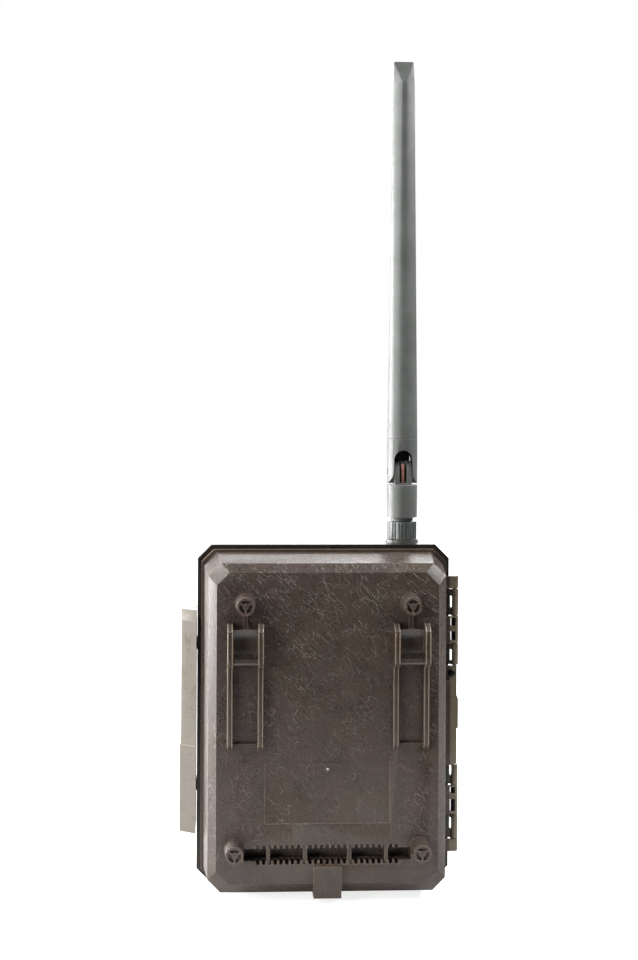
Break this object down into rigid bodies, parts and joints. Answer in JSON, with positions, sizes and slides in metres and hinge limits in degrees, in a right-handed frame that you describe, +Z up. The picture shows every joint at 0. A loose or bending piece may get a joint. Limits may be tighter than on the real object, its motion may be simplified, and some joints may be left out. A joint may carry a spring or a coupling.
{
  "type": "trail camera",
  "caption": "Outdoor wildlife camera in a two-part hinged case with a side latch, strap loops, pegs and slot on the back, lens, infrared panel and motion sensor in front, and a folding antenna.",
  "frame": {"origin": "middle of the front rim's lowest face, which the camera stands on", "axes": "+Z up, along the antenna; -Y is the lens side, +Y the back that faces the tree; +X is the latch side, -X the hinge side"},
  "size_m": [0.1129, 0.0885, 0.335],
  "materials": {
    "case_plastic": "leather-grain moulded plastic, dark brown",
    "smooth_plastic": "semi-gloss smooth plastic, dark brown",
    "gasket_rubber": "matt",
    "black_steel": "blackened",
    "steel": "satin",
    "sheet_metal": "satin sheet",
    "vent_white": "matt",
    "inner_plastic": "fine texture",
    "contact_nickel": "plated",
    "cell_jacket": "printed sleeve, plain",
    "brass": "turned",
    "ir_panel": "polished, nearly black",
    "circuit_board": "solder mask",
    "dark_plastic": "satin",
    "lens_glass": "coated",
    "lens_metal": "black anodised",
    "pir_film": "milky",
    "sensor_can": "plated",
    "led_amber": "clear",
    "screen": "polished",
    "button_plastic": "satin",
    "switch_plastic": "satin",
    "card_plastic": "satin",
    "sim_plastic": "satin",
    "antenna_plastic": "satin, dark grey",
    "nut_plastic": "satin, nearly black",
    "coax_jacket": "satin"
  },
  "bodies": {
    "rear_case": {"rear_shell": "case_plastic", "strap_loop_left": "smooth_plastic", "strap_loop_right": "smooth_plastic", "rim_gasket": "gasket_rubber", "hinge_pin_upper": "black_steel", "hinge_pin_lower": "black_steel", "hinge_screw": "black_steel", "vent_plug": "vent_white", "battery_tray": "inner_plastic", "contact_strip_bottom": "contact_nickel", "contact_strip_middle": "contact_nickel", "contact_strip_top": "contact_nickel", "battery_cell_1": "cell_jacket", "battery_cell_2": "cell_jacket", "battery_cell_3": "cell_jacket", "battery_cell_4": "cell_jacket", "battery_cell_5": "cell_jacket", "battery_cell_6": "cell_jacket", "battery_cell_7": "cell_jacket", "battery_cell_8": "cell_jacket"},
    "front_case": {"front_shell": "case_plastic", "tripod_boss": "case_plastic", "latch_pin": "steel", "ir_window": "ir_panel", "ir_led_board": "circuit_board", "ir_heat_sink": "sheet_metal", "lens_bezel": "dark_plastic", "lens_barrel": "lens_metal", "lens_glass": "lens_glass", "camera_board": "circuit_board", "pir_lens": "pir_film", "pir_sensor": "sensor_can", "status_led": "led_amber", "inner_cover": "inner_plastic", "lcd_screen": "screen", "main_board": "circuit_board", "sd_socket": "sheet_metal", "sim_socket": "sheet_metal", "inner_cover_screw_1": "steel", "inner_cover_screw_2": "steel", "inner_cover_screw_3": "steel", "inner_cover_screw_4": "steel", "antenna_jack": "brass", "jack_ring": "nut_plastic"},
    "latch": {"latch_lever": "case_plastic"},
    "antenna_nut": {"coupling_nut": "nut_plastic"},
    "antenna_base": {"antenna_barrel": "antenna_plastic", "antenna_coax": "coax_jacket"},
    "antenna_blade": {"antenna_fork": "antenna_plastic", "antenna_tilt_pin": "black_steel", "antenna_sleeve": "antenna_plastic", "antenna_element": "circuit_board"},
    "power_switch": {"power_switch_knob": "switch_plastic"},
    "sd_card": {"sd_card": "card_plastic"},
    "sim_card": {"sim_card": "sim_plastic"},
    "button_ok": {"button_ok": "button_plastic"},
    "button_up": {"button_up": "button_plastic"},
    "button_down": {"button_down": "button_plastic"},
    "button_left": {"button_left": "button_plastic"},
    "button_right": {"button_right": "button_plastic"}
  },
  "joints": [
    {"name": "door_hinge", "type": "hinge", "parent": "rear_case", "child": "front_case", "pos_m": [-0.0534, 0.00215, 0.068], "axis": [0, 0, -1], "range_deg": [0, 160]},
    {"name": "latch_hinge", "type": "hinge", "parent": "front_case", "child": "latch", "pos_m": [0.05395, -0.014, 0.068], "axis": [0, 0, -1], "range_deg": [0, 90]},
    {"name": "antenna_nut_turn", "type": "hinge", "parent": "front_case", "child": "antenna_nut", "pos_m": [-0.0333, -0.012, 0.1351], "axis": [0, 0, 1], "continuous": true},
    {"name": "antenna_swivel", "type": "hinge", "parent": "front_case", "child": "antenna_base", "pos_m": [-0.0333, -0.012, 0.1351], "axis": [0, 0, 1], "continuous": true},
    {"name": "antenna_tilt", "type": "hinge", "parent": "antenna_base", "child": "antenna_blade", "pos_m": [-0.0333, -0.012, 0.1648], "axis": [-1, 0, 0], "range_deg": [0, 90]},
    {"name": "power_switch_slide", "type": "slide", "parent": "front_case", "child": "power_switch", "axis": [1, 0, 0], "range_m": [0, 0.008]},
    {"name": "sd_card_slide", "type": "slide", "parent": "front_case", "child": "sd_card", "axis": [0, 1, 0], "range_m": [0, 0.016]},
    {"name": "sim_card_slide", "type": "slide", "parent": "front_case", "child": "sim_card", "axis": [0, 1, 0], "range_m": [0, 0.01]},
    {"name": "button_ok_press", "type": "slide", "parent": "front_case", "child": "button_ok", "axis": [0, -1, 0], "range_m": [0, 0.0008], "stiffness_N_per_m": 300},
    {"name": "button_up_press", "type": "slide", "parent": "front_case", "child": "button_up", "axis": [0, -1, 0], "range_m": [0, 0.0008], "stiffness_N_per_m": 300},
    {"name": "button_down_press", "type": "slide", "parent": "front_case", "child": "button_down", "axis": [0, -1, 0], "range_m": [0, 0.0008], "stiffness_N_per_m": 300},
    {"name": "button_left_press", "type": "slide", "parent": "front_case", "child": "button_left", "axis": [0, -1, 0], "range_m": [0, 0.0008], "stiffness_N_per_m": 300},
    {"name": "button_right_press", "type": "slide", "parent": "front_case", "child": "button_right", "axis": [0, -1, 0], "range_m": [0, 0.0008], "stiffness_N_per_m": 300}
  ]
}
